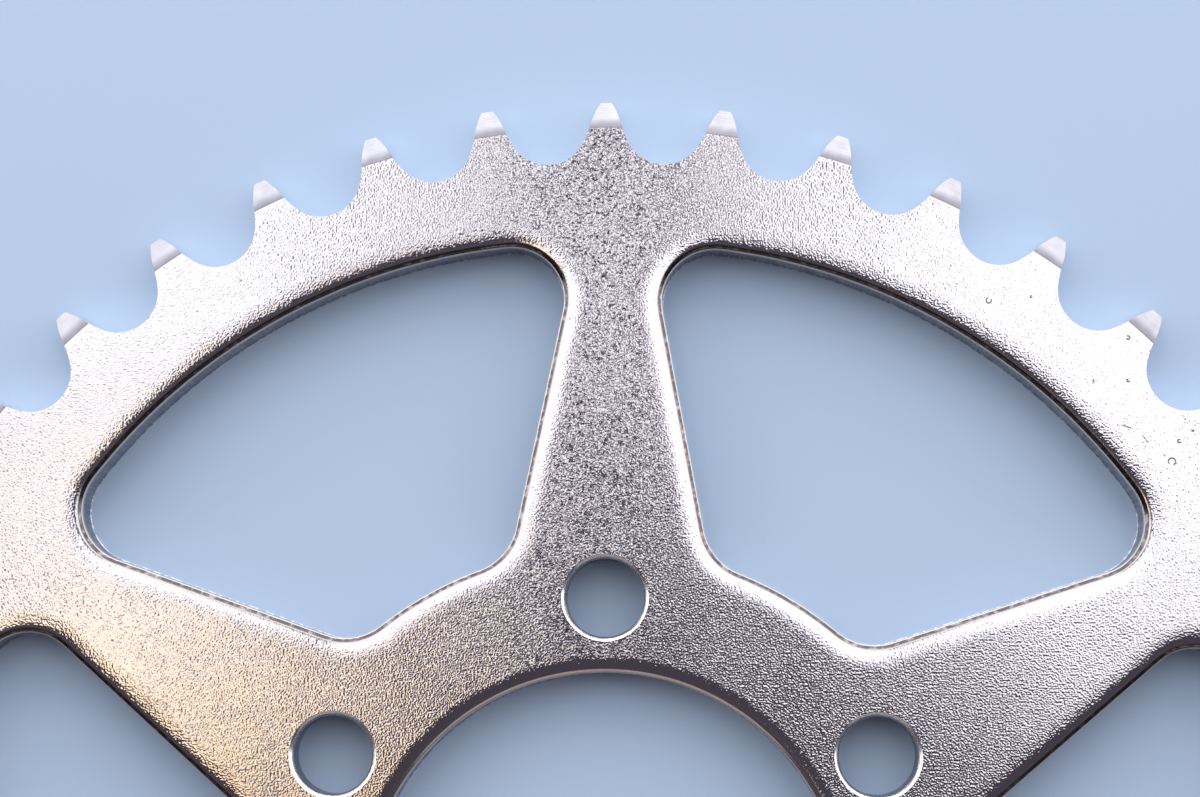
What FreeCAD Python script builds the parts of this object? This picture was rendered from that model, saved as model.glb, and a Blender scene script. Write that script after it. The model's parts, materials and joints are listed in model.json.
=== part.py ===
import FreeCAD, Part
import math
import os

import Sketcher

# Rear chain sprocket of a motorcycle: one flat, zinc-plated steel plate, blanked and
# pierced in a press, then drilled, turned at the rim and cut with teeth.
# Millimetres. The wheel axis is +Z and the origin lies on it, in the plane of the flat
# mounting face. One tooth, one spoke and one bolt hole stand on the +Y axis.

# Driving sizes: alias, value, what it measures
SIZES = (
    ("tooth_count", 42, "teeth round the rim"),
    ("chain_pitch", 15.875, "pitch of a 5/8 inch chain"),
    ("roller_diameter", 10.16, "roller of that chain"),
    ("seat_clearance", 0.36, "seat radius less roller radius"),
    ("seat_half_angle", 56.5, "half of the arc that the roller seats in, degrees"),
    ("flank_radius", 11.4, "hollow arc from the seat up the tooth"),
    ("flank_angle", 15.3, "turn of the hollow arc, degrees"),
    ("topping_radius", 12, "rounded upper part of the tooth"),
    ("tip_rise", 3.45, "tooth tip above the pitch circle"),
    ("plate_thickness", 5.9, "plate, 0.93 of the chain's inner width"),
    ("bevel_width", 3.7, "bevel on each side of the teeth, along the radius"),
    ("bevel_angle", 21, "bevel's slope from the face, degrees"),
    ("cutter_overrun", 0.3, "how far a cut at the rim runs past the tooth tips"),
    ("bore_diameter", 64, "centre bore"),
    ("bolt_count", 6, "bolt holes"),
    ("bolt_circle_diameter", 84, "circle that the bolt holes lie on"),
    ("bolt_hole_diameter", 10.5, "clearance hole for the bolt"),
    ("bolt_hole_chamfer", 0.55, "chamfer at both ends of a bolt hole"),
    ("window_count", 6, "windows, with a spoke between each two"),
    ("window_turn", -0.7, "windows' turn against the teeth and bolt holes, degrees"),
    ("hub_ring_radius", 48.7, "outside of the ring that carries the bolts"),
    ("rim_wall", 9.9, "steel between a window and the tooth roots"),
    ("window_bow_radius", 81, "outer edge of a window"),
    ("spoke_root_width", 26.3, "spoke where it leaves the hub ring"),
    ("spoke_taper", 11.2, "slope of each spoke side to the spoke's axis, degrees"),
    ("window_inner_corner", 7.7, "corners of a window at the hub ring"),
    ("window_outer_corner", 7.15, "corners of a window at the rim"),
    ("roll_run", 0.9, "rolled edge's slope, across the face"),
    ("roll_depth", 1.25, "rolled edge's slope, down the wall"),
    ("roll_radius", 2, "rounding between the face and the slope"),
)

# Sizes that follow from those, as expressions for the sketches
PITCH_RADIUS = "(Sizes.chain_pitch / 2 / sin(180 / Sizes.tooth_count))"
ROOT_RADIUS = f"({PITCH_RADIUS} - Sizes.roller_diameter / 2)"
TIP_RADIUS = f"({PITCH_RADIUS} + Sizes.tip_rise)"
SEAT_RADIUS = "(Sizes.roller_diameter / 2 + Sizes.seat_clearance)"
BEVEL_DROP = "(Sizes.bevel_width + Sizes.cutter_overrun) * tan(Sizes.bevel_angle)"

LEVEL_TOLERANCE = 0.001
UP = FreeCAD.Vector(0, 0, 1)

doc = FreeCAD.newDocument("chain_sprocket")
sheet = doc.addObject("Spreadsheet::Sheet", "Sizes")
for row, (alias, value, meaning) in enumerate(SIZES, start=1):
    sheet.set(f"A{row}", alias)
    sheet.set(f"B{row}", str(value))
    sheet.setAlias(f"B{row}", alias)
    sheet.set(f"C{row}", meaning)
doc.recompute()

body = doc.addObject("PartDesign::Body", "sprocket")
body.Label = "sprocket"


def size(alias):
    """A driving size, as a plain number."""
    return float(sheet.get(alias))


thickness = size("plate_thickness")
pitch_radius = size("chain_pitch") / 2 / math.sin(math.pi / size("tooth_count"))
root_radius = pitch_radius - size("roller_diameter") / 2
tip_radius = pitch_radius + size("tip_rise")
seat_radius = size("roller_diameter") / 2 + size("seat_clearance")


def point(x, y):
    """A point or direction in a sketch's own plane."""
    return FreeCAD.Vector(x, y, 0)


def mirrored(place):
    """The same point on the other side of the sketch's X axis."""
    return point(place.x, -place.y)


def origin_feature(role):
    """The body's own plane or axis with that role."""
    return next(item for item in body.Origin.OriginFeatures if item.Role == role)


def new_sketch(name, plane):
    sketch = body.newObject("Sketcher::SketchObject", name)
    sketch.AttachmentSupport = [(origin_feature(plane), "")]
    sketch.MapMode = "FlatFace"
    return sketch


def turn_sketch(sketch, degrees, expression):
    """Turn a sketch in its plane, by an angle that follows the sheet."""
    sketch.AttachmentOffset = FreeCAD.Placement(point(0, 0), FreeCAD.Rotation(UP, degrees))
    sketch.setExpression("AttachmentOffset.Rotation.Angle", expression)


def constrain(sketch, kind, *items):
    """A constraint without a size, such as Tangent or Equal."""
    sketch.addConstraint(Sketcher.Constraint(kind, *items))


def dimension(sketch, name, expression, kind, *items):
    """A named driving constraint whose value follows the sheet."""
    index = sketch.addConstraint(Sketcher.Constraint(kind, *items))
    sketch.renameConstraint(index, name)
    sketch.setExpression(f"Constraints.{name}", expression)


def add_circle(sketch, radius, name, expression):
    """A circle round the sketch's origin."""
    circle = sketch.addGeometry(Part.Circle(point(0, 0), UP, radius), False)
    constrain(sketch, "Coincident", circle, 3, -1, 1)
    dimension(sketch, name, expression, "Radius", circle, radius)


def add_arc(sketch, centre, radius, start, end):
    """An arc that runs anticlockwise from start to end, in radians."""
    return sketch.addGeometry(Part.ArcOfCircle(Part.Circle(centre, UP, radius), start, end), False)


def add_line(sketch, start, end, construction=False):
    return sketch.addGeometry(Part.LineSegment(start, end), construction)


def add_polygon(sketch, corners):
    """Straight sides through the corners, joined end to end."""
    sides = [add_line(sketch, a, b) for a, b in zip(corners, corners[1:] + corners[:1])]
    for side, following in zip(sides, sides[1:] + sides[:1]):
        constrain(sketch, "Coincident", side, 2, following, 1)
    return sides


def finish_cut(cut, volume_before):
    """Make the cut the body's last feature, and see that it took steel away."""
    body.Tip = cut
    doc.recompute()
    if not body.Shape.Volume < volume_before:
        raise RuntimeError(f"{cut.Name} cuts nothing")
    return cut


def cut_through(name, sketch):
    """A pocket through the whole plate."""
    volume_before = body.Shape.Volume
    pocket = body.newObject("PartDesign::Pocket", name)
    pocket.Profile = sketch
    pocket.Type = "ThroughAll"
    pocket.Reversed = True
    return finish_cut(pocket, volume_before)


def cut_round(name, sketch, axis):
    """A groove turned right round an axis of its sketch."""
    volume_before = body.Shape.Volume
    groove = body.newObject("PartDesign::Groove", name)
    groove.Profile = sketch
    groove.ReferenceAxis = (sketch, [axis])
    groove.Angle = 360
    return finish_cut(groove, volume_before)


def repeat_round(name, feature, count):
    """Equal copies of a cut round the wheel axis."""
    volume_before = body.Shape.Volume
    pattern = body.newObject("PartDesign::PolarPattern", name)
    pattern.Originals = [feature]
    pattern.Axis = (origin_feature("Z_Axis"), [""])
    pattern.Angle = 360
    pattern.setExpression("Occurrences", f"Sizes.{count}")
    return finish_cut(pattern, volume_before)


# Blank: a round plate as large as the tooth tips
blank_outline = new_sketch("blank_outline", "XY_Plane")
add_circle(blank_outline, tip_radius, "tip_radius", TIP_RADIUS)
blank = body.newObject("PartDesign::Pad", "blank")
blank.Profile = blank_outline
blank.setExpression("Length", "Sizes.plate_thickness")
doc.recompute()

# Centre bore
bore_outline = new_sketch("bore_outline", "XY_Plane")
add_circle(bore_outline, size("bore_diameter") / 2, "bore_radius", "Sizes.bore_diameter / 2")
cut_through("bore", bore_outline)


# Windows
def window_sketch():
    """One window, drawn about the +X axis and turned to lie beside the +Y spoke.

    Its inner edge is the hub ring and its outer edge a flatter bow. Its sides are
    straight spoke sides, which meet both in round corners.
    """
    hub = size("hub_ring_radius")
    bow = size("window_bow_radius")
    inner = size("window_inner_corner")
    outer = size("window_outer_corner")
    taper = math.radians(size("spoke_taper"))
    half_step = 180 / size("window_count")
    side_angle = math.radians(half_step) + taper
    side_offset = size("spoke_root_width") / 2 * math.cos(taper) + hub * math.sin(taper)

    # Each corner's centre lies its own radius away from the spoke side and from its arc
    along = point(math.cos(side_angle), math.sin(side_angle))
    inward = point(math.sin(side_angle), -math.cos(side_angle))
    inner_offset = side_offset + inner
    inner_run = math.sqrt((hub + inner) ** 2 - inner_offset ** 2)
    inner_centre = inward * inner_offset + along * inner_run
    bow_centre = point(root_radius - size("rim_wall") - bow, 0)
    outer_offset = side_offset + outer - bow_centre.dot(inward)
    outer_run = math.sqrt((bow - outer) ** 2 - outer_offset ** 2)
    outer_centre = bow_centre + inward * outer_offset + along * outer_run
    side_start = inner_centre - inward * inner
    side_end = outer_centre - inward * outer
    hub_end = math.atan2(inner_centre.y, inner_centre.x)
    bow_end = math.atan2(outer_centre.y, outer_centre.x - bow_centre.x)
    side_end_angle = side_angle + math.pi / 2

    sketch = new_sketch("window_outline", "XY_Plane")
    turn_sketch(sketch, 90 - half_step + size("window_turn"),
                "90 - 180 / Sizes.window_count + Sizes.window_turn")
    hub_edge = add_arc(sketch, point(0, 0), hub, -hub_end, hub_end)
    left_inner = add_arc(sketch, inner_centre, inner, side_end_angle, math.pi + hub_end)
    left_side = add_line(sketch, side_start, side_end)
    left_outer = add_arc(sketch, outer_centre, outer, bow_end, side_end_angle)
    bow_edge = add_arc(sketch, bow_centre, bow, -bow_end, bow_end)
    right_outer = add_arc(sketch, mirrored(outer_centre), outer, -side_end_angle, -bow_end)
    right_side = add_line(sketch, mirrored(side_start), mirrored(side_end))
    right_inner = add_arc(sketch, mirrored(inner_centre), inner,
                          math.pi - hub_end, 2 * math.pi - side_end_angle)

    for joint in ((hub_edge, 2, left_inner, 2), (left_inner, 1, left_side, 1),
                  (left_side, 2, left_outer, 2), (left_outer, 1, bow_edge, 2),
                  (bow_edge, 1, right_outer, 2), (right_outer, 1, right_side, 2),
                  (right_side, 1, right_inner, 2), (right_inner, 1, hub_edge, 1)):
        constrain(sketch, "Tangent", *joint)
    constrain(sketch, "Coincident", hub_edge, 3, -1, 1)
    constrain(sketch, "PointOnObject", bow_edge, 3, -1)
    constrain(sketch, "Equal", left_inner, right_inner)
    constrain(sketch, "Equal", left_outer, right_outer)
    constrain(sketch, "Symmetric", left_side, 1, right_side, 1, -1)
    dimension(sketch, "hub_ring", "Sizes.hub_ring_radius", "Radius", hub_edge, hub)
    dimension(sketch, "bow", "Sizes.window_bow_radius", "Radius", bow_edge, bow)
    dimension(sketch, "bow_centre", f"{ROOT_RADIUS} - Sizes.rim_wall - Sizes.window_bow_radius",
              "DistanceX", -1, 1, bow_edge, 3, bow_centre.x)
    dimension(sketch, "inner_corner", "Sizes.window_inner_corner", "Radius", left_inner, inner)
    dimension(sketch, "outer_corner", "Sizes.window_outer_corner", "Radius", left_outer, outer)
    dimension(sketch, "side_angle", "180 / Sizes.window_count + Sizes.spoke_taper",
              "Angle", left_side, side_angle)
    dimension(sketch, "side_offset",
              "Sizes.spoke_root_width / 2 * cos(Sizes.spoke_taper)"
              " + Sizes.hub_ring_radius * sin(Sizes.spoke_taper)",
              "Distance", -1, 1, left_side, side_offset)
    return sketch


window = cut_through("window", window_sketch())
windows = repeat_round("windows", window, "window_count")


# Rolled edges: the press draws the face down round each window and the bore. The
# face rounds over into a steep slope, which breaks sharply into the sheared wall.
def drawn_edges(feature):
    """The upper edges of the windows and the bore, without the blank's own rim."""
    names = []
    for number, edge in enumerate(feature.Shape.Edges, start=1):
        reach = max(vertex.Point.Length for vertex in edge.Vertexes)
        if edge.BoundBox.ZMin > thickness - LEVEL_TOLERANCE and reach < root_radius:
            names.append(f"Edge{number}")
    return names


roll_slope = body.newObject("PartDesign::Chamfer", "roll_slope")
roll_slope.Base = (windows, drawn_edges(windows))
roll_slope.ChamferType = "Two distances"
roll_slope.setExpression("Size", "Sizes.roll_run")
roll_slope.setExpression("Size2", "Sizes.roll_depth")
doc.recompute()

rolled_edges = body.newObject("PartDesign::Fillet", "rolled_edges")
rolled_edges.Base = (roll_slope, drawn_edges(roll_slope))
rolled_edges.setExpression("Radius", "Sizes.roll_radius")
doc.recompute()


# Bolt holes
def bolt_hole_sketch():
    """Half of a hole's section with its two chamfers, beside the hole's own axis."""
    axis = size("bolt_circle_diameter") / 2
    wall = axis + size("bolt_hole_diameter") / 2
    chamfer = size("bolt_hole_chamfer")
    sketch = new_sketch("bolt_hole_section", "YZ_Plane")
    foot, lower, side, upper, head, centre = add_polygon(sketch, [
        point(axis, 0), point(wall + chamfer, 0), point(wall, chamfer),
        point(wall, thickness - chamfer), point(wall + chamfer, thickness),
        point(axis, thickness)])
    centreline = add_line(sketch, point(axis, 0), point(axis, thickness), construction=True)
    constrain(sketch, "Horizontal", foot)
    constrain(sketch, "Horizontal", head)
    constrain(sketch, "Vertical", side)
    constrain(sketch, "Vertical", centre)
    constrain(sketch, "Coincident", centreline, 1, centre, 2)
    constrain(sketch, "Coincident", centreline, 2, centre, 1)
    constrain(sketch, "PointOnObject", foot, 1, -1)
    dimension(sketch, "bolt_circle", "Sizes.bolt_circle_diameter / 2",
              "DistanceX", -1, 1, foot, 1, axis)
    dimension(sketch, "hole_radius", "Sizes.bolt_hole_diameter / 2",
              "DistanceX", foot, 1, side, 1, wall - axis)
    dimension(sketch, "thickness", "Sizes.plate_thickness",
              "DistanceY", foot, 1, head, 2, thickness)
    for edge, near, far, name in ((lower, 2, 1, "lower"), (upper, 1, 2, "upper")):
        dimension(sketch, f"{name}_run", "Sizes.bolt_hole_chamfer",
                  "DistanceX", edge, near, edge, far, chamfer)
    dimension(sketch, "lower_rise", "Sizes.bolt_hole_chamfer",
              "DistanceY", lower, 1, lower, 2, chamfer)
    dimension(sketch, "upper_rise", "Sizes.bolt_hole_chamfer",
              "DistanceY", upper, 1, upper, 2, chamfer)
    return sketch


bolt_hole = cut_round("bolt_hole", bolt_hole_sketch(), "Axis0")
repeat_round("bolt_holes", bolt_hole, "bolt_count")


# Rim bevels: turned on both faces, to lead the chain's side plates over the teeth
def bevel_sketch():
    """The two corners that the lathe takes off the rim."""
    start = tip_radius - size("bevel_width")
    clear = tip_radius + size("cutter_overrun")
    drop = (clear - start) * math.tan(math.radians(size("bevel_angle")))
    sketch = new_sketch("bevel_section", "XZ_Plane")
    upper_slope, upper_end, face = add_polygon(sketch, [
        point(start, thickness), point(clear, thickness - drop), point(clear, thickness)])
    lower_face, lower_end, lower_slope = add_polygon(sketch, [
        point(start, 0), point(clear, 0), point(clear, drop)])
    for level in (face, lower_face):
        constrain(sketch, "Horizontal", level)
    for upright in (upper_end, lower_end):
        constrain(sketch, "Vertical", upright)
    constrain(sketch, "PointOnObject", lower_face, 1, -1)
    dimension(sketch, "thickness", "Sizes.plate_thickness",
              "DistanceY", lower_face, 1, face, 2, thickness)
    for name, level, near, far in (("upper", face, 2, 1), ("lower", lower_face, 1, 2)):
        dimension(sketch, f"{name}_start", f"{TIP_RADIUS} - Sizes.bevel_width",
                  "DistanceX", -1, 1, level, near, start)
        dimension(sketch, f"{name}_clear", f"{TIP_RADIUS} + Sizes.cutter_overrun",
                  "DistanceX", -1, 1, level, far, clear)
    dimension(sketch, "upper_drop", BEVEL_DROP, "DistanceY", upper_end, 1, upper_end, 2, drop)
    dimension(sketch, "lower_drop", BEVEL_DROP, "DistanceY", lower_end, 1, lower_end, 2, drop)
    return sketch


cut_round("rim_bevels", bevel_sketch(), "V_Axis")


# Tooth gaps
def tooth_gap_sketch():
    """One gap, drawn about the +X axis and turned to lie beside the +Y tooth.

    It is a roller seat, a hollow flank on both sides and rounded upper flanks, which
    run out past the tooth tips.
    """
    seat_half = math.radians(size("seat_half_angle"))
    flank_turn = math.radians(size("flank_angle"))
    crest = seat_half + flank_turn
    flank = size("flank_radius")
    topping = size("topping_radius")
    mouth = tip_radius + size("cutter_overrun")

    def outward(angle):
        """The direction from the seat's centre that far round from the root."""
        return point(-math.cos(angle), math.sin(angle))

    seat_centre = point(root_radius + seat_radius, 0)
    flank_centre = seat_centre - outward(seat_half) * (flank - seat_radius)
    topping_centre = flank_centre + outward(crest) * (flank + topping)
    mouth_angle = -math.acos((mouth - topping_centre.x) / topping)
    mouth_corner = topping_centre + point(math.cos(mouth_angle), math.sin(mouth_angle)) * topping

    sketch = new_sketch("tooth_gap_outline", "XY_Plane")
    turn_sketch(sketch, 90 + 180 / size("tooth_count"), "90 + 180 / Sizes.tooth_count")
    seat = add_arc(sketch, seat_centre, seat_radius, math.pi - seat_half, math.pi + seat_half)
    left_flank = add_arc(sketch, flank_centre, flank, math.pi - crest, math.pi - seat_half)
    right_flank = add_arc(sketch, mirrored(flank_centre), flank,
                          math.pi + seat_half, math.pi + crest)
    left_topping = add_arc(sketch, topping_centre, topping, -crest, mouth_angle)
    right_topping = add_arc(sketch, mirrored(topping_centre), topping, -mouth_angle, crest)
    closing = add_line(sketch, mouth_corner, mirrored(mouth_corner))

    for joint in ((seat, 1, left_flank, 2), (left_flank, 1, left_topping, 1),
                  (seat, 2, right_flank, 1), (right_flank, 2, right_topping, 2)):
        constrain(sketch, "Tangent", *joint)
    constrain(sketch, "Coincident", left_topping, 2, closing, 1)
    constrain(sketch, "Coincident", right_topping, 1, closing, 2)
    constrain(sketch, "Vertical", closing)
    constrain(sketch, "PointOnObject", seat, 3, -1)
    constrain(sketch, "Vertical", seat, 1, seat, 2)
    constrain(sketch, "Equal", left_flank, right_flank)
    constrain(sketch, "Equal", left_topping, right_topping)
    dimension(sketch, "seat_centre", f"{ROOT_RADIUS} + {SEAT_RADIUS}",
              "DistanceX", -1, 1, seat, 3, seat_centre.x)
    dimension(sketch, "seat_radius", SEAT_RADIUS, "Radius", seat, seat_radius)
    dimension(sketch, "seat_span", "2 * Sizes.seat_half_angle", "Angle", seat, 2 * seat_half)
    dimension(sketch, "flank_radius", "Sizes.flank_radius", "Radius", left_flank, flank)
    dimension(sketch, "left_flank_span", "Sizes.flank_angle", "Angle", left_flank, flank_turn)
    dimension(sketch, "right_flank_span", "Sizes.flank_angle", "Angle", right_flank, flank_turn)
    dimension(sketch, "topping_radius", "Sizes.topping_radius", "Radius", left_topping, topping)
    dimension(sketch, "mouth", f"{TIP_RADIUS} + Sizes.cutter_overrun",
              "DistanceX", -1, 1, closing, 1, mouth)
    return sketch


tooth_gap = cut_through("tooth_gap", tooth_gap_sketch())
repeat_round("tooth_gaps", tooth_gap, "tooth_count")

for item in doc.Objects:
    if {"Invalid", "Error"} & set(item.State):
        raise RuntimeError(f"{item.Name} failed: {item.State}")
    if item.TypeId == "Sketcher::SketchObject" and not item.FullyConstrained:
        raise RuntimeError(f"{item.Name} is not fully constrained")

plate = body.Shape
if plate.isNull() or not plate.isValid() or len(plate.Solids) != 1:
    raise RuntimeError("the sprocket is not one valid solid")
box = plate.BoundBox
print(f"{body.Label}: {box.XLength:.3f} x {box.YLength:.3f} x {box.ZLength:.3f} mm, "
      f"{plate.Volume / 1000:.2f} cm3, {len(plate.Faces)} faces")

os.makedirs("parts", exist_ok=True)
plate.exportStep(f"parts/{body.Label}.step")
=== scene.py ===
import json
import math

import bmesh
import bpy
import numpy as np
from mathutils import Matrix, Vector


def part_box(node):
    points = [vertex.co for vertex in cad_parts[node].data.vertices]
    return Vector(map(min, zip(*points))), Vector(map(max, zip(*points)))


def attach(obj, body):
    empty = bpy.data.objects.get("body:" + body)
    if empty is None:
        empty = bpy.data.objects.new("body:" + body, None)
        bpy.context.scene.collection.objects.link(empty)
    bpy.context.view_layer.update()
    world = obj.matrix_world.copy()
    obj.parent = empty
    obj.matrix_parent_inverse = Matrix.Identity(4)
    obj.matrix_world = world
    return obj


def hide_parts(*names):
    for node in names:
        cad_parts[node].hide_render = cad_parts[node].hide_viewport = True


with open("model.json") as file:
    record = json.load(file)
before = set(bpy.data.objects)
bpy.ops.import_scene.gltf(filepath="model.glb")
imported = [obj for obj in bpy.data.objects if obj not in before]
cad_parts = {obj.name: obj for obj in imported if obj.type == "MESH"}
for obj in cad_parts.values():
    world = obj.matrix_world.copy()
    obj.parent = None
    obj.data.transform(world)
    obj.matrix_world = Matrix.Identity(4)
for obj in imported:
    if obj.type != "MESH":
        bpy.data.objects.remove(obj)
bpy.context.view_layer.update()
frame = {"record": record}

# Teeth
# The rim is a steel disc, turned to a shallow bevel on both faces. A cutter then took one
# gap after another out of it: a round roller seat, hollow flanks and rounded tooth heads.
# One tooth is made here, from the middle of one gap to the middle of the next, in mm.
MM = 0.001
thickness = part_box("sprocket")[1].z / MM
tooth_count = 42
chain_pitch = 15.875
roller_radius = 5.08
seat_clearance = 0.36
seat_half_angle = math.radians(56.5)
flank_radius = 11.4
flank_turn = math.radians(15.3)
head_radius = 12
# A micrometre less than the solid's, so that the mesh stays inside its box
tip_rise = 3.449
bevel_width = 3.7
bevel_slope = math.tan(math.radians(21))
bevel_line = 0.04
broken_edge = 0.02
seam_radius = 99
rim_row_radius = 100
tooth_columns = 9
# Steps along the seat, the flank and the head, to measure by and to build with
fine_steps = (300, 150, 300)
built_steps = (9, 3, 7)

half_pitch = math.pi / tooth_count
pitch_radius = chain_pitch / 2 / math.sin(half_pitch)
root_radius = pitch_radius - roller_radius
tip_radius = pitch_radius + tip_rise
bevel_start = tip_radius - bevel_width
seat_radius = roller_radius + seat_clearance
crest_angle = seat_half_angle + flank_turn

# Numbers of the zones, each of which has a finish of its own
PLATED_FACE, SHEARED_WALL, TURNED_BEVEL, CUT_GAP, DRILLED_HOLE = range(5)
# Vertices further than this from a rolled edge all count as this far
FAR_FROM_EDGE = 3.9


def directions(start, end, steps):
    """Unit vectors from one angle to the other, as rows of x and y."""
    angles = np.linspace(start, end, steps + 1)
    return np.column_stack((np.cos(angles), np.sin(angles)))


def gap_side(steps):
    """One side of a gap whose axis is +X, from its root to the tooth tip, and at each
    point the direction into the gap."""
    def outward(angle):
        return np.array((-math.cos(angle), math.sin(angle)))

    seat_centre = np.array((root_radius + seat_radius, 0))
    flank_centre = seat_centre - outward(seat_half_angle) * (flank_radius - seat_radius)
    head_centre = flank_centre + outward(crest_angle) * (flank_radius + head_radius)
    head_end = -math.acos((tip_radius - head_centre[0]) / head_radius)
    arcs = ((seat_centre, seat_radius, math.pi, math.pi - seat_half_angle, -1),
            (flank_centre, flank_radius, math.pi - seat_half_angle, math.pi - crest_angle, -1),
            (head_centre, head_radius, -crest_angle, head_end, 1))
    points, normals = [], []
    for (centre, radius, start, end, sign), count in zip(arcs, steps):
        rays = directions(start, end, count)[1 if points else 0:]
        points.append(centre + rays * radius)
        normals.append(rays * sign)
    return np.vstack(points), np.vstack(normals)


def new_mesh():
    """An empty mesh with a distance to the nearest rolled edge and a zone for its faces."""
    mesh = bmesh.new()
    mesh.verts.layers.float.new("edge")
    mesh.faces.layers.int.new("zone")
    return mesh


def add_row(mesh, points, height, edge=FAR_FROM_EDGE):
    """Vertices at the given points, at one height or at one height each, in millimetres."""
    layer = mesh.verts.layers.float["edge"]
    row = []
    for (x, y), z in zip(points, np.broadcast_to(height, len(points))):
        vertex = mesh.verts.new((x * MM, y * MM, z * MM))
        vertex[layer] = edge
        row.append(vertex)
    return row


def add_sheet(mesh, rows, zone=PLATED_FACE):
    """Quads between neighbouring rows of vertices."""
    layer = mesh.faces.layers.int["zone"]
    for near, far in zip(rows, rows[1:]):
        for corners in zip(near, near[1:], far[1:], far):
            mesh.faces.new(corners)[layer] = zone


def piece_from(mesh, name):
    """A mesh object in the scene from a finished mesh."""
    data = bpy.data.meshes.new(name)
    mesh.to_mesh(data)
    mesh.free()
    made = bpy.data.objects.new(name, data)
    bpy.context.scene.collection.objects.link(made)
    return made


def around_tooth(radius, angle):
    """A point, or a row of points, at an angle clockwise from the tooth's axis, +Y."""
    return np.column_stack((radius * np.sin(angle), radius * np.cos(angle)))


def make_tooth():
    """One tooth about the +Y axis, with the rim below it as far in as the seam."""
    fine_points, fine_normals = gap_side(fine_steps)
    fine_inset = fine_points - fine_normals * broken_edge
    inset_radii = np.hypot(*fine_inset.T)
    inset_angles = half_pitch - np.arctan2(fine_inset[:, 1], fine_inset[:, 0])
    cut_radii = np.hypot(*fine_points.T)
    cut_angles = half_pitch - np.arctan2(fine_points[:, 1], fine_points[:, 0])

    # Rows of vertices run round the wheel, from the seam out to the tip
    built_points, built_normals = gap_side(built_steps)
    radii = np.hypot(*(built_points - built_normals * broken_edge).T)
    last = tip_radius - broken_edge
    row_clearance = 0.2
    extra_rows = (seam_radius, rim_row_radius, bevel_start - bevel_line,
                  bevel_start + bevel_line, last)
    radii = np.union1d(radii[radii < last - row_clearance], extra_rows)
    half_angles = np.interp(radii, inset_radii, inset_angles, left=half_pitch)
    rounding = 0.001
    cut = int(np.searchsorted(radii, inset_radii[0] - rounding))
    wall_radii = np.interp(radii[cut:], inset_radii, cut_radii)
    wall_angles = np.interp(radii[cut:], inset_radii, cut_angles)
    wall_radii[-1], wall_angles[-1] = cut_radii[-1], cut_angles[-1]
    bevel = int(np.searchsorted(radii, bevel_start)) - 1
    drops = np.maximum(radii - bevel_start, 0) * bevel_slope
    wall_drops = np.maximum(wall_radii - bevel_start, 0) * bevel_slope + broken_edge
    columns = np.linspace(-1, 1, tooth_columns)

    mesh = new_mesh()
    faces = []
    for side in (1, -1):
        rows = [add_row(mesh, around_tooth(radius, columns * half_angle),
                        thickness - drop if side > 0 else drop)
                for radius, half_angle, drop in zip(radii, half_angles, drops)]
        add_sheet(mesh, rows[:bevel + 1])
        add_sheet(mesh, rows[bevel:], TURNED_BEVEL)
        faces.append(rows)
    tip_rows = [add_row(mesh, around_tooth(tip_radius, columns * wall_angles[-1]), height)
                for height in (thickness - wall_drops[-1], wall_drops[-1])]
    add_sheet(mesh, (faces[0][-1], *tip_rows, faces[1][-1]), TURNED_BEVEL)
    for end, turn in ((0, -1), (-1, 1)):
        points = around_tooth(wall_radii, turn * wall_angles)[:-1]
        upper = [*add_row(mesh, points, thickness - wall_drops[:-1]), tip_rows[0][end]]
        lower = [*add_row(mesh, points, wall_drops[:-1]), tip_rows[1][end]]
        top, bottom = ([row[end] for row in rows[cut:]] for rows in faces)
        add_sheet(mesh, (top, upper, lower, bottom), CUT_GAP)
    return piece_from(mesh, "one_tooth")


tooth = make_tooth()

# Spokes and bolt ring
# Inside the teeth the plate is pierced by windows and by the wheel's bore. The punch drew
# the upper face down round them: it rolls over into a steep slope, which breaks off sharply
# into a sheared wall. One spoke is made here, with its drilled bolt hole.
mounts = {mount["name"]: mount for mount in frame["record"]["mounts"]}
spoke_count = mounts["bolt_pattern"]["dims"]["count"]
bolt_circle_radius = mounts["bolt_pattern"]["dims"]["pcd_mm"] / 2
bolt_hole_radius = mounts["bolt_pattern"]["dims"]["hole_r_mm"]
bore_radius = mounts["bore"]["dims"]["r_mm"]
half_step = math.pi / spoke_count
hub_ring_radius = 48.7
rim_wall = 9.9
bow_radius = 81
spoke_root_width = 26.3
spoke_taper = math.radians(11.2)
inner_corner = 7.7
outer_corner = 7.15
window_turn = math.radians(-0.7)
bow_steps, outer_steps, side_steps, inner_steps, hub_steps = 26, 16, 13, 12, 10
bore_steps = 28
# The slope of a rolled edge: a gentle sag, and then a shoulder some way from the wall
roll_depth = thickness - mounts["bore"]["dims"]["length_mm"]
window_roll_width = 3.4
bore_roll_width = 2.4
roll_sag = math.radians(8.6)
roll_shoulder = math.radians(40)
shoulder_place = 0.55
shoulder_softness = 0.12
sag_rows, sag_end = 9, 1.1
shoulder_rows, shoulder_start = 11, 1.0
# The torn step and the ledge at the foot of the slope, and the burr at the wall's foot
step_width = 0.27
ledge_width = 0.13
ledge_end = 0.03
ledge_drop = 0.12
ledge_tilt = 0.03
burr_width = 0.07
burr_height = 0.3
burr_shoulder = 0.27
burr_foot = 0.06
underside_rows = (0.3, 1.2, FAR_FROM_EDGE)
# The mouth of a bolt hole: out from its wall, and down from the face
bolt_hole_chamfer = 0.55
bolt_hole_steps = 64
bolt_hole_mouth = ((bolt_hole_chamfer + 0.06, 0), (bolt_hole_chamfer - 0.06, 0.08),
                   (0.05, bolt_hole_chamfer - 0.05), (0, bolt_hole_chamfer + 0.07))


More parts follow.
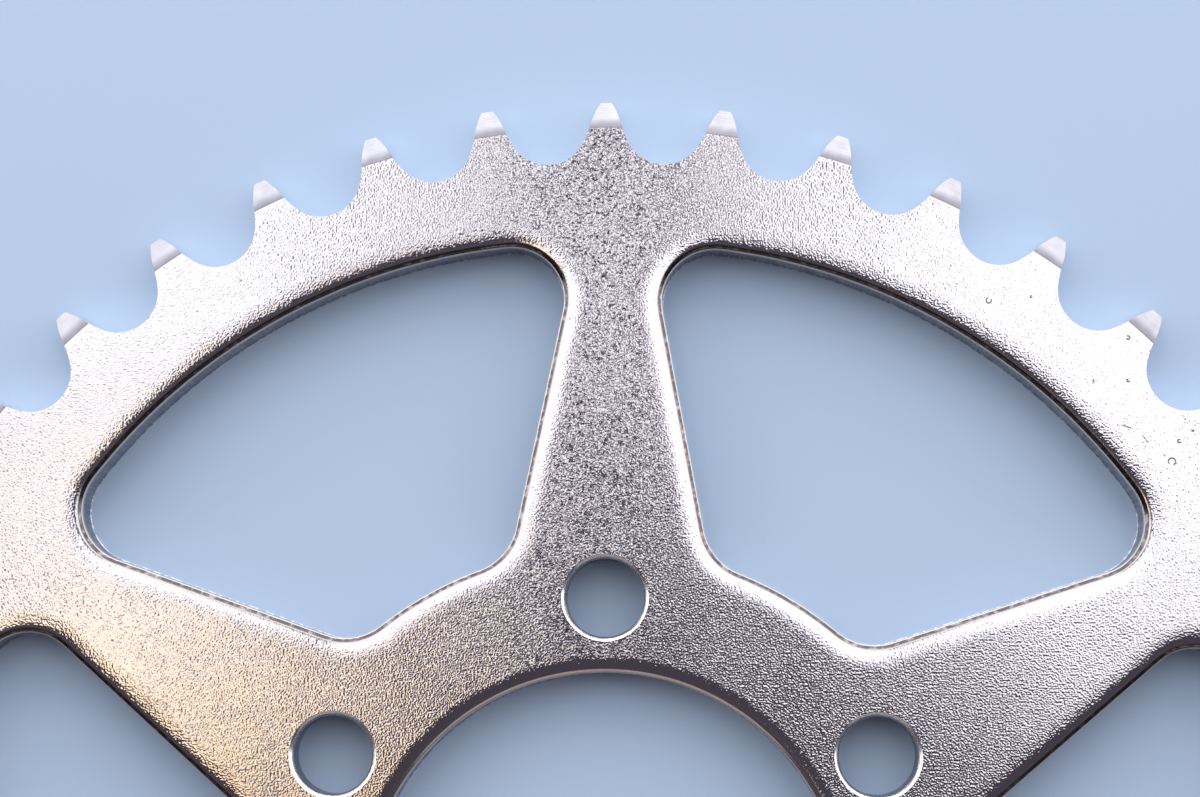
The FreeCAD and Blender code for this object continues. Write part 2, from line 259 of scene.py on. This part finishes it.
def half_window():
    """Half of a window about the +X axis, from the middle of its outer edge to the middle
    of its inner one, and at each point the direction into the window."""
    side_angle = half_step + spoke_taper
    along = np.array((math.cos(side_angle), math.sin(side_angle)))
    inward = np.array((math.sin(side_angle), -math.cos(side_angle)))
    side_offset = (spoke_root_width / 2 * math.cos(spoke_taper)
                   + hub_ring_radius * math.sin(spoke_taper))
    inner_offset = side_offset + inner_corner
    inner_run = math.sqrt((hub_ring_radius + inner_corner) ** 2 - inner_offset ** 2)
    inner_centre = inward * inner_offset + along * inner_run
    bow_centre = np.array((root_radius - rim_wall - bow_radius, 0))
    outer_offset = side_offset + outer_corner - bow_centre @ inward
    outer_run = math.sqrt((bow_radius - outer_corner) ** 2 - outer_offset ** 2)
    outer_centre = bow_centre + inward * outer_offset + along * outer_run
    hub_end = math.atan2(inner_centre[1], inner_centre[0])
    bow_end = math.atan2(outer_centre[1], outer_centre[0] - bow_centre[0])
    side_end = side_angle + math.pi / 2

    arcs = ((bow_centre, bow_radius, 0, bow_end, bow_steps, -1),
            (outer_centre, outer_corner, bow_end, side_end, outer_steps, -1),
            (inner_centre, inner_corner, side_end, math.pi + hub_end, inner_steps, -1),
            (np.zeros(2), hub_ring_radius, hub_end, 0, hub_steps, 1))
    points, normals = [], []
    for centre, radius, start, end, steps, sign in arcs:
        rays = directions(start, end, steps)
        points.append(centre + rays * radius)
        normals.append(-rays if sign < 0 else rays)
    straight = np.linspace(points[1][-1], points[2][0], side_steps + 1)[1:-1]
    points.insert(2, straight)
    normals.insert(2, np.tile(inward, (len(straight), 1)))
    for joined in (1, 4):
        points[joined] = points[joined][1:]
        normals[joined] = normals[joined][1:]
    return np.vstack(points), np.vstack(normals)


def turned(points, angle):
    """Points or directions turned about the wheel axis."""
    cosine, sine = math.cos(angle), math.sin(angle)
    return points @ np.array(((cosine, sine), (-sine, cosine)))


def rolled_profile(width):
    """The section of a rolled edge: distances from the wall into the steel, and heights.
    The face sags gently, drops over a shoulder, and breaks off at a torn step with a narrow
    ledge. The sheared wall follows, and ends in a fine burr."""
    distances = np.concatenate((np.linspace(width, sag_end, sag_rows),
                                np.linspace(shoulder_start, step_width, shoulder_rows)))
    shoulder = roll_shoulder / (1 + np.exp((distances - shoulder_place) / shoulder_softness))
    slopes = np.tan(roll_sag * (1 - distances / width) + shoulder)
    drops = np.cumsum((slopes[1:] + slopes[:-1]) / 2 * -np.diff(distances))
    slope = list(zip(distances[1:], thickness - drops))
    ledge_height = slope[-1][1] - ledge_drop
    ledge = ((ledge_width, ledge_height), (ledge_end, ledge_height - ledge_tilt))
    wall = ((0, thickness - roll_depth), (0, burr_height), (-burr_width, burr_shoulder),
            (-burr_width, burr_foot), (0, 0))
    underside = [(distance, 0) for distance in underside_rows]
    return [(FAR_FROM_EDGE, thickness), (width, thickness), *slope, *ledge, *wall, *underside]


def add_rolled_wall(mesh, points, normals, width):
    """An edge of a window or the bore, from the upper face to the lower one."""
    profile = rolled_profile(width)
    rows = [add_row(mesh, points - normals * distance, height, distance)
            for distance, height in profile]
    wall = [number for number, (distance, _) in enumerate(profile) if distance <= 0]
    add_sheet(mesh, rows[:wall[0] + 1])
    add_sheet(mesh, rows[wall[0]:wall[-1] + 1], SHEARED_WALL)
    add_sheet(mesh, rows[wall[-1]:])
    return rows[0], rows[-1]


def add_drilled_wall(mesh):
    """A bolt hole on the +Y axis, chamfered at both ends."""
    rays = directions(0, 2 * math.pi, bolt_hole_steps)[:-1]
    profile = [(bolt_hole_radius + out, thickness - down) for out, down in bolt_hole_mouth]
    profile += [(bolt_hole_radius + out, down) for out, down in reversed(bolt_hole_mouth)]
    rows = [add_row(mesh, rays * radius + (0, bolt_circle_radius), height)
            for radius, height in profile]
    closed = [row + row[:1] for row in rows]
    add_sheet(mesh, closed, DRILLED_HOLE)
    return closed[0], closed[-1]


def add_flat(mesh, loops):
    """Fills the plane between closed loops of vertices."""
    edges = set()
    for loop in loops:
        for pair in zip(loop, loop[1:]):
            edges.add(mesh.edges.get(pair) or mesh.edges.new(pair))
    bmesh.ops.triangle_fill(mesh, edges=list(edges), use_beauty=True)


def make_spoke():
    """One spoke about the +Y axis, out to the seam with the teeth."""
    mesh = new_mesh()
    half_points, half_normals = half_window()
    spoke_axis = math.pi / 2
    right_axis = spoke_axis - half_step + window_turn
    left_axis = spoke_axis + half_step + window_turn
    mirror = np.array((1, -1))
    right = add_rolled_wall(mesh, turned(half_points, right_axis),
                            turned(half_normals, right_axis), window_roll_width)
    left = add_rolled_wall(mesh, turned(half_points * mirror, left_axis),
                           turned(half_normals * mirror, left_axis), window_roll_width)
    bore_rays = directions(right_axis, left_axis, bore_steps)
    bore = add_rolled_wall(mesh, bore_rays * bore_radius, -bore_rays, bore_roll_width)
    hole = add_drilled_wall(mesh)
    seam_steps = (tooth_columns - 1) * tooth_count // spoke_count
    seam_rays = directions(spoke_axis - half_step, spoke_axis + half_step, seam_steps)
    for level, height in enumerate((thickness, 0)):
        seam = add_row(mesh, seam_rays * seam_radius, height)
        outline = [*seam, *left[level], *bore[level][::-1], *right[level][::-1], seam[0]]
        add_flat(mesh, (outline, hole[level]))
    return piece_from(mesh, "one_spoke")


spoke = make_spoke()

# Finishes
# The blank was pickled to a fine pitted grain and zinc plated, and the plate shines. The
# punched walls keep their shear marks under the zinc, and the turned bevels and the drilled
# holes their fine tool marks. Some colour is painted light: dark pits on the face are a
# painted dark reflection, and so are part of a golden tint and part of a torn line along the
# rolled edges. The burrs are painted lighter, with painted glints, and the drilled walls and
# the bevels' inner edges are painted darker as shade.
class Wire:
    """The output of a node. Python's operators on it add Math nodes to its tree."""

    def __init__(self, tree, socket=None):
        self.tree = tree
        self.socket = socket

    def node(self, kind, settings, values, output=0):
        """Adds a node: its settings first, and then the values or links of its sockets."""
        made = self.tree.nodes.new(kind)
        for name, setting in settings.items():
            setattr(made, name, setting)
        for key, value in values.items():
            if isinstance(value, Wire):
                self.tree.links.new(value.socket, made.inputs[key])
            else:
                made.inputs[key].default_value = value
        return Wire(self.tree, made.outputs[output])

    def maths(self, operation, *values):
        return self.node("ShaderNodeMath", {"operation": operation}, dict(enumerate(values)))

    def __add__(self, other):
        return self.maths("ADD", self, other)

    def __sub__(self, other):
        return self.maths("SUBTRACT", self, other)

    def __rsub__(self, other):
        return self.maths("SUBTRACT", other, self)

    def __mul__(self, other):
        return self.maths("MULTIPLY", self, other)

    def __abs__(self):
        return self.maths("ABSOLUTE", self)

    __radd__ = __add__
    __rmul__ = __mul__

    def larger(self, other):
        return self.maths("MAXIMUM", self, other)

    def vector(self, operation, other, output=0):
        """Vector Math on this vector and another."""
        return self.node("ShaderNodeVectorMath", {"operation": operation},
                         {0: self, 1: other}, output)

    def times(self, factors):
        """A vector multiplied by another, part by part."""
        return self.vector("MULTIPLY", factors)

    def distance(self, point=(0, 0, 0)):
        return self.vector("DISTANCE", point, "Value")

    def noise(self, scale, detail=2.0, roughness=0.5):
        """Smooth noise from 0 to 1 at this place, with features of about 1 / scale."""
        return self.node("ShaderNodeTexNoise", {},
                         {"Vector": self, "Scale": scale, "Detail": detail, "Roughness": roughness})

    def ramp(self, start, end, low=0.0, high=1.0):
        """Goes smoothly from low to high as this value goes from start to end."""
        return self.node("ShaderNodeMapRange", {"interpolation_type": "SMOOTHSTEP"},
                         {0: self, 1: start, 2: end, 3: low, 4: high})

    def mix(self, first, second):
        """The first colour where this value is 0, and the second where it is 1."""
        return self.node("ShaderNodeMix", {"data_type": "RGBA"}, {0: self, 6: first, 7: second}, 2)


ON_FACE = (1, 1, 0)
# Each dent's place, the radius of its ring, and the angle at which the ring is open
dent_rings = (
    (51.7, 82.0, 0.34, 70),
    (75.83, 60.18, 0.48, 255),
    (57.4, 82.5, 0.10, 30),
    (70.3, 76.9, 0.22, 160),
    (65.6, 71.1, 0.08, 0),
    (70.2, 71.1, 0.16, 45),
    (76.84, 62.93, 0.2, 20),
    (78.69, 64.38, 0.12, 90))
# The two ends of each mark
gouge_ends = (((69.01, 65.19), (70.70, 64.63)), ((71.90, 63.74), (72.77, 62.79)))
scratch_ends = ((-5.66, 55.07), (-4.42, 44.33))


def rgb(red, green, blue):
    return red, green, blue, 1.0


def begin_finish(name):
    """A new material, and the place on the object in millimetres."""
    material = bpy.data.materials.new(name)
    material.use_nodes = True
    material.node_tree.nodes.clear()
    start = Wire(material.node_tree)
    place = start.node("ShaderNodeTexCoord", {}, {}, "Object")
    return material, place.times((1 / MM, 1 / MM, 1 / MM))


def end_finish(material, colour, roughness, height, depth):
    """Metal of this colour and roughness, with a relief that is so many millimetres deep."""
    start = Wire(material.node_tree)
    normal = start.node("ShaderNodeBump", {}, {"Height": height, "Distance": depth * MM})
    metal = start.node("ShaderNodeBsdfPrincipled", {},
                       {"Base Color": colour, "Metallic": 1.0, "Roughness": roughness,
                        "Normal": normal})
    output = start.tree.nodes.new("ShaderNodeOutputMaterial")
    start.tree.links.new(metal.socket, output.inputs["Surface"])
    return material


def height_above_floor(place):
    return place.node("ShaderNodeSeparateXYZ", {}, {0: place}, "Z")


def wear_dents(place):
    """Small dents from handling, as rings that are open at one side: 1 on a mark, else 0."""
    marks = 0.0
    for x, y, radius, angle in dent_rings:
        turn = math.radians(angle)
        opening = (math.cos(turn) * radius, math.sin(turn) * radius, 0)
        from_mark = place.times(ON_FACE).vector("SUBTRACT", (x, y, 0))
        ring = abs(from_mark.distance() - radius).ramp(0.13, 0.04)
        closed = from_mark.distance(opening).ramp(radius * 0.5, radius)
        marks = (ring * closed).larger(marks)
    return marks


def from_line(place, start, end):
    """How far a place is along the line from start to end, and beside it, in millimetres."""
    along = (Vector(end) - Vector(start)).normalized()
    across = Vector((-along.y, along.x))
    return [place.vector("DOT_PRODUCT", direction.to_3d(), "Value") - direction.dot(Vector(start))
            for direction in (along, across)]


def wear_gouge(place, start, end):
    """A thin, dashed scratch from one point to another: 1 on it, else 0."""
    past_start, beside = from_line(place, start, end)
    length = math.dist(start, end)
    line = abs(beside).ramp(0.10, 0.03)
    ends = past_start.ramp(-0.1, 0.1) * past_start.ramp(length + 0.1, length - 0.1)
    return line * ends * place.noise(3.0, detail=0.0).ramp(0.38, 0.5, low=0.2)


def wear_scratch(place, start, end):
    """A light, broken scratch from one point to another: 1 on it, else 0."""
    past_start, beside = from_line(place, start, end)
    length = math.dist(start, end)
    wander = place.noise(0.6) * 0.8 - 0.4
    line = abs(beside + wander).ramp(0.30, 0.08)
    ends = past_start.ramp(0, 0.6) * past_start.ramp(length, length - 1.5)
    return line * ends * place.noise(1.5).ramp(0.42, 0.55)


def plated_face():
    """Zinc that shines like a mirror over a fine grain. Dark pits painted on the hub and in a
    band up and down the middle are a painted dark reflection. Left of the hub a golden tint
    is partly the zinc's own and partly a painted warm reflection. Along rolled edges the face
    is streaked, with a dark torn line that is partly painted dark reflection."""
    bright_zinc = rgb(0.84, 0.81, 0.87)
    golden_zinc_and_reflection = rgb(0.88, 0.70, 0.46)
    pit_and_reflection_dark = rgb(0.13, 0.10, 0.15)
    dull_streak, bright_streak = rgb(0.62, 0.56, 0.56), rgb(0.93, 0.91, 0.90)
    torn_and_reflection_dark = rgb(0.09, 0.075, 0.08)
    ledge_steel = rgb(0.66, 0.64, 0.64)
    golden_centre = (-50, 5, 0)
    # About how many of each there are in a millimetre
    grain_scale, reflection_pit_scale, speck_scale, patch_scale = 3.9, 4.2, 1.7, 0.07
    streaks_outwards, streaks_along = 9.0, 0.35

    material, place = begin_finish("plated_face")
    on_face = place.times(ON_FACE)
    radius = on_face.distance()
    across = place.times((1, 0, 0)).distance()
    edge = place.node("ShaderNodeAttribute", {"attribute_name": "edge"}, {}, "Fac")
    on_flat = edge.ramp(0.45, 1.2)

    # Wear, and the grain, which fades out where the face starts to roll over
    dents = wear_dents(place)
    for start, end in gouge_ends:
        dents = dents.larger(wear_gouge(place, start, end))
    scratch = wear_scratch(place, *scratch_ends)
    patches = place.noise(patch_scale).ramp(0.35, 0.65, low=0.8)
    grain = place.noise(grain_scale, detail=0.0) * patches * edge.ramp(0.5, 2.4, low=0.2)

    # The golden tint, partly the zinc's own and partly a painted warm reflection, and the
    # painted dark pits, which give way to the tint
    golden_tint_and_reflection = on_face.distance(golden_centre).ramp(60, 10, high=0.45)
    golden_tint_and_reflection = golden_tint_and_reflection * place.noise(0.25).ramp(0.3, 0.7, low=0.6)
    # Dark pits painted on the hub and in a band up the middle: a painted dark reflection
    dark_reflection_zone = radius.ramp(76, 48).larger(across.ramp(26, 6)) * edge.ramp(1.8, 3.3)
    dark_reflection_zone = dark_reflection_zone * (1 - golden_tint_and_reflection * 1.5)
    painted_reflection_pits = place.noise(reflection_pit_scale, detail=0.0).ramp(0.54, 0.40) * dark_reflection_zone * 0.7
    specks = place.noise(speck_scale, detail=1.0).ramp(0.71, 0.78) * 0.7
    pits_and_painted_reflection = painted_reflection_pits.larger(specks * on_flat).larger(dents * on_flat)
    zinc = golden_tint_and_reflection.mix(bright_zinc, golden_zinc_and_reflection)
    zinc = (pits_and_painted_reflection * 0.9).mix(zinc, pit_and_reflection_dark)

    # The rolled edges: streaks on the slope, a dark torn line that is partly painted dark
    # reflection, and the ledge below it
    stretched = place.node("ShaderNodeCombineXYZ", {}, {"X": edge * streaks_outwards})
    stretched = stretched.vector("ADD", place.times((streaks_along,) * 3))
    slope = stretched.noise(1.0, detail=3.0, roughness=0.6).mix(dull_streak, bright_streak)
    colour = on_flat.mix(slope, zinc)
    torn_line_and_dark_reflection = edge.ramp(0.72, 0.50) * edge.ramp(ledge_width, ledge_width + 0.04)
    torn_line_and_dark_reflection = torn_line_and_dark_reflection * place.noise(1.1).ramp(0.32, 0.55, low=0.75)
    torn_line_and_dark_reflection = torn_line_and_dark_reflection * radius.ramp(bore_radius + 1.0, bore_radius + 2.0)
    colour = torn_line_and_dark_reflection.mix(colour, torn_and_reflection_dark)
    ledge = edge.ramp(ledge_width + 0.03, ledge_width - 0.02)
    colour = ledge.mix(colour, ledge_steel)
    roughness = (0.06 + pits_and_painted_reflection * 0.1) + (1 - on_flat) * 0.14 + scratch * 0.35 + ledge * 0.35
    return end_finish(material, colour, roughness, grain - dents * 0.5, depth=0.034)


def sheared_wall():
    """Steel with upright shear marks, and at its foot a burr that is painted lighter, with painted
    glints.
    """
    dark_mark, light_mark = rgb(0.22, 0.215, 0.24), rgb(0.48, 0.48, 0.52)
    burr_painted_light, painted_burr_glint = rgb(0.50, 0.53, 0.60), rgb(0.94, 0.95, 0.98)
    upright = (3.2, 3.2, 0.22)
    material, place = begin_finish("sheared_wall")
    marks = place.times(upright).noise(1.0, detail=3.0, roughness=0.6)
    # The burr is painted lighter and dotted with painted glints, as painted highlights
    burr = height_above_floor(place).ramp(burr_height + 0.04, burr_height + 0.01)
    painted_glints = place.times(ON_FACE).noise(1.6).ramp(0.48, 0.56) * burr
    colour = marks.ramp(0.3, 0.75).mix(dark_mark, light_mark)
    colour = burr.mix(colour, burr_painted_light)
    colour = painted_glints.mix(colour, painted_burr_glint)
    return end_finish(material, colour, marks * 0.15 + 0.24, marks, depth=0.04)


def turned_bevel():
    """Satin steel with fine lines round the wheel, and painted shading that darkens the bevel's
    inner edge.
    """
    dark_line, light_line = rgb(0.24, 0.235, 0.28), rgb(0.56, 0.555, 0.61)
    painted_shading_width = 1.9
    material, place = begin_finish("turned_bevel")
    radius = place.times(ON_FACE).distance()
    lines = radius.node("ShaderNodeTexNoise", {"noise_dimensions": "1D"},
                        {"W": radius, "Scale": 7.0, "Detail": 2.0})
    clouds = place.noise(0.5)
    # Painted shading: darker at the bevel's inner edge, lighter towards the tip
    painted_inner_shading = radius.ramp(bevel_start + painted_shading_width, bevel_start, high=-0.4)
    tone = clouds * 0.4 + lines * 0.6 + painted_inner_shading
    colour = tone.ramp(0.0, 0.7).mix(dark_line, light_line)
    return end_finish(material, colour, clouds * 0.08 + 0.37, lines, depth=0.02)


def cut_gap():
    """Bright steel with the cutter's upright marks."""
    dark_mark, light_mark = rgb(0.60, 0.60, 0.64), rgb(0.82, 0.82, 0.86)
    upright = (5.0, 5.0, 0.4)
    material, place = begin_finish("cut_gap")
    marks = place.times(upright).noise(1.0)
    colour = marks.mix(dark_mark, light_mark)
    return end_finish(material, colour, marks * 0.15 + 0.28, marks, depth=0.02)


def drilled_hole():
    """Steel with the drill's level marks, painted dark on its wall as shade inside the hole, and a
    bright chamfer at each end.
    """
    painted_shade_dark, painted_shade_light = rgb(0.16, 0.15, 0.17), rgb(0.34, 0.33, 0.36)
    dark_chamfer, light_chamfer = rgb(0.72, 0.72, 0.76), rgb(0.90, 0.90, 0.93)
    level = (0.3, 0.3, 5.0)
    material, place = begin_finish("drilled_hole")
    marks = place.times(level).noise(1.0)
    middle = thickness / 2
    chamfer_start = middle - bolt_hole_chamfer
    from_middle = abs(height_above_floor(place) - middle)
    chamfer = from_middle.ramp(chamfer_start - 0.1, chamfer_start)
    # The wall between the chamfers is painted dark, as painted shade inside the hole
    colour = chamfer.mix(marks.mix(painted_shade_dark, painted_shade_light), marks.mix(dark_chamfer, light_chamfer))
    return end_finish(material, colour, marks * 0.12 + 0.2, marks, depth=0.03)


# The whole wheel
# One plate: a geometry tree sets the tooth round the axis once for each tooth and the spoke
# once for each spoke, welds them to one skin and gives each zone its finish.
WELD_DISTANCE = 0.002
SHARP_ANGLE = math.radians(25)
finishes = {PLATED_FACE: plated_face(), SHEARED_WALL: sheared_wall(),
            TURNED_BEVEL: turned_bevel(), CUT_GAP: cut_gap(), DRILLED_HOLE: drilled_hole()}


def wheel_tree():
    tree = bpy.data.node_groups.new("wheel_pattern", "GeometryNodeTree")
    for name, kind in (("Tooth", "NodeSocketObject"), ("Teeth", "NodeSocketInt"),
                       ("Spoke", "NodeSocketObject"), ("Spokes", "NodeSocketInt"),
                       ("Weld Distance", "NodeSocketFloat")):
        tree.interface.new_socket(name, in_out="INPUT", socket_type=kind)
    tree.interface.new_socket("Wheel", in_out="OUTPUT", socket_type="NodeSocketGeometry")
    start = Wire(tree)
    inputs = tree.nodes.new("NodeGroupInput")

    def given(name):
        return Wire(tree, inputs.outputs[name])

    rings = tree.nodes.new("GeometryNodeJoinGeometry")
    for unit, count in (("Tooth", "Teeth"), ("Spoke", "Spokes")):
        index = start.node("GeometryNodeInputIndex", {}, {})
        angle = start.maths("DIVIDE", index * math.tau, given(count))
        turn = start.node("ShaderNodeCombineXYZ", {}, {"Z": angle})
        axis = start.node("GeometryNodePoints", {}, {"Count": given(count)})
        shape = start.node("GeometryNodeObjectInfo", {}, {"Object": given(unit)}, "Geometry")
        ring = start.node("GeometryNodeInstanceOnPoints", {},
                          {"Points": axis, "Instance": shape, "Rotation": turn})
        tree.links.new(ring.socket, rings.inputs["Geometry"])
    joined = Wire(tree, rings.outputs[0])
    wheel = start.node("GeometryNodeRealizeInstances", {}, {"Geometry": joined})
    wheel = start.node("GeometryNodeMergeByDistance", {},
                       {"Geometry": wheel, "Distance": given("Weld Distance")})
    wheel = start.node("GeometryNodeSetShadeSmooth", {}, {"Geometry": wheel})
    zone = start.node("GeometryNodeInputNamedAttribute", {"data_type": "INT"}, {"Name": "zone"})
    for number, finish in finishes.items():
        chosen = start.node("FunctionNodeCompare", {"data_type": "INT", "operation": "EQUAL"},
                            {2: zone, 3: number})
        wheel = start.node("GeometryNodeSetMaterial", {},
                           {"Geometry": wheel, "Selection": chosen, "Material": finish})
    tree.links.new(wheel.socket, tree.nodes.new("NodeGroupOutput").inputs[0])
    return tree


def make_wheel():
    """The pattern's result as a plain mesh, with its faces outwards and its edges sharp."""
    carrier = bpy.data.objects.new("pattern", bpy.data.meshes.new("pattern"))
    bpy.context.scene.collection.objects.link(carrier)
    pattern = carrier.modifiers.new("pattern", "NODES")
    pattern.node_group = wheel_tree()
    sockets = {item.name: item.identifier for item in pattern.node_group.interface.items_tree
               if item.in_out == "INPUT"}
    for name, value in (("Tooth", tooth), ("Teeth", tooth_count), ("Spoke", spoke),
                        ("Spokes", spoke_count), ("Weld Distance", WELD_DISTANCE * MM)):
        pattern[sockets[name]] = value
    ready = carrier.evaluated_get(bpy.context.evaluated_depsgraph_get())
    plate = bpy.data.meshes.new_from_object(ready)
    for used in (carrier, tooth, spoke):
        bpy.data.objects.remove(used)

    mesh = bmesh.new()
    mesh.from_mesh(plate)
    bmesh.ops.recalc_face_normals(mesh, faces=mesh.faces)
    for edge in mesh.edges:
        edge.smooth = edge.calc_face_angle() < SHARP_ANGLE
    mesh.to_mesh(plate)
    mesh.free()
    plate.name = "sprocket_plate"
    wheel = bpy.data.objects.new("sprocket_plate", plate)
    bpy.context.scene.collection.objects.link(wheel)
    return wheel


wheel = make_wheel()
shading = wheel.modifiers.new("even_shading", "WEIGHTED_NORMAL")
shading.weight = 100
shading.keep_sharp = True
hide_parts("sprocket")
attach(wheel, "root")

# Floor
# A plain pale sheet of matt card, which the sprocket lies on. It reaches well beyond the
# edge of the picture on every side.
floor_reach = 4
floor_gap = 0.02 * MM
card_colour = rgb(0.50, 0.64, 0.85)


def make_floor():
    mesh = bmesh.new()
    bmesh.ops.create_grid(mesh, x_segments=1, y_segments=1, size=floor_reach)
    for vertex in mesh.verts:
        vertex.co.z = -floor_gap
    made = piece_from(mesh, "floor")
    material = bpy.data.materials.new("pale_card")
    material.use_nodes = True
    surface = material.node_tree.nodes["Principled BSDF"]
    surface.inputs["Base Color"].default_value = card_colour
    surface.inputs["Roughness"].default_value = 0.9
    surface.inputs["Specular IOR Level"].default_value = 0.1
    made.data.materials.append(material)
    return made


make_floor()

# Light and camera
# Soft white panels make a small studio of roofs and walls. The roofs leave a dark gap over
# the middle, which the face mirrors and the camera looks down from. A warm roof tints the
# left of the hub, and a dim near wall lights the slopes that face the camera.
roof_height, roof_light = 0.9, 1.2
wall_middle, wall_height, wall_light = 0.45, 0.9, 2.6
warm_light, warm_tint = 1.5, (1.0, 0.82, 0.60)
near_light, near_tint = 0.33, (1.0, 0.84, 0.77)
room_colour = rgb(0.06, 0.052, 0.068)
camera_place = (0.010303, 0.030959, 0.36412)
camera_turn = (6.0287, 1.7495, 0.1161)
DOWN = (0, 0, -1)
roofs = (("left_roof", (-0.6865, 0.5925), 1.227, 1.015),
         ("right_roof", (0.655, 0.5775), 1.29, 1.045),
         ("right_step", (0.72, 0.0425), 1.16, 0.025),
         ("right_low", (0.75, -0.0025), 1.10, 0.065),
         ("far_roof", (-0.0315, 0.80), 0.083, 0.6))
walls = (("left_wall", (-1.32, 0.5), 1.2, (1, 0, 0)),
         ("right_wall", (1.32, 0.5), 1.2, (-1, 0, 0)),
         ("far_wall", (0, 1.15), 2.6, (0, -1, 0)))


def add_panel(name, centre, width, height, facing, radiance, colour=(1, 1, 1)):
    """A panel of light, in metres. An upright one has its width along the floor."""
    lamp = bpy.data.lights.new(name, "AREA")
    lamp.shape = "RECTANGLE"
    lamp.size = width
    lamp.size_y = height
    lamp.energy = radiance * math.pi * width * height
    lamp.color = colour
    made = bpy.data.objects.new(name, lamp)
    made.location = centre
    made.rotation_euler = Vector(facing).to_track_quat("-Z", "Y").to_euler()
    bpy.context.scene.collection.objects.link(made)


for name, middle, width, depth in roofs:
    add_panel(name, (*middle, roof_height), width, depth, DOWN, roof_light)
for name, middle, width, facing in walls:
    add_panel(name, (*middle, wall_middle), width, wall_height, facing, wall_light)
add_panel("warm_roof", (-0.26, -0.03, roof_height), 0.24, 0.18, DOWN, warm_light, warm_tint)
add_panel("near_wall", (0, -1.2, 0.31), 2.4, 0.62, (0, 1, 0), near_light, near_tint)

world = bpy.data.worlds.new("studio")
world.use_nodes = True
world.node_tree.nodes["Background"].inputs["Color"].default_value = room_colour
bpy.context.scene.world = world

lens = bpy.data.cameras.new("camera")
lens.lens = 80.12
camera = bpy.data.objects.new("camera", lens)
camera.location = camera_place
camera.rotation_euler = [math.radians(angle) for angle in camera_turn]
bpy.context.scene.collection.objects.link(camera)
bpy.context.scene.camera = camera
bpy.context.scene.view_settings.view_transform = "Standard"
